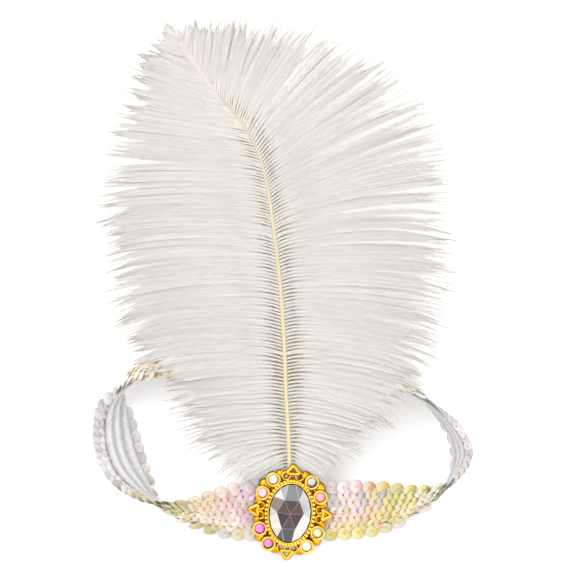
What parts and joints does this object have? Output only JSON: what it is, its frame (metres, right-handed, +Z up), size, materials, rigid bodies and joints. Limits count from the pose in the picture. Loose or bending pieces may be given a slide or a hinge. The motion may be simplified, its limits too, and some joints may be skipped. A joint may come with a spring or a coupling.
{
  "type": "flapper headband",
  "caption": "Stretch sequin headband lying as a loose loop, with a gilt oval brooch of faceted stones at the front and an ostrich plume fixed behind the brooch.",
  "frame": {"origin": "on the table under the middle of the band's loop, where the wearer's head goes through", "axes": "+Z up from the table, -Y towards the brooch at the front, +Y along the plume to its tip"},
  "size_m": [0.1656, 0.2411, 0.0399],
  "materials": {
    "tape": "ribbed white elastic weave",
    "sequins": "iridescent pearl film with pink, peach and yellow-green flashes",
    "plume": "matt white feather barbs on a cream quill",
    "gilt": "bright gilt cast metal",
    "crystal": "clear foil-backed faceted acrylic",
    "stone_white": "milky faceted acrylic",
    "stone_blush": "blush faceted acrylic",
    "stone_grey": "clear grey faceted acrylic",
    "stone_pink": "pink faceted acrylic",
    "stone_green": "pale green faceted acrylic",
    "stone_rose": "rose and grey faceted acrylic",
    "stone_magenta": "magenta faceted acrylic"
  },
  "bodies": {
    "root": {"elastic_tape": "tape", "sequin_face": "sequins", "plume": "plume", "brooch_setting": "gilt", "crystal": "crystal", "rim_stone_1": "stone_white", "rim_stone_2": "stone_blush", "rim_stone_3": "stone_grey", "rim_stone_4": "stone_pink", "rim_stone_5": "stone_white", "rim_stone_6": "stone_green", "rim_stone_7": "stone_rose", "rim_stone_8": "stone_magenta"}
  },
  "joints": []
}
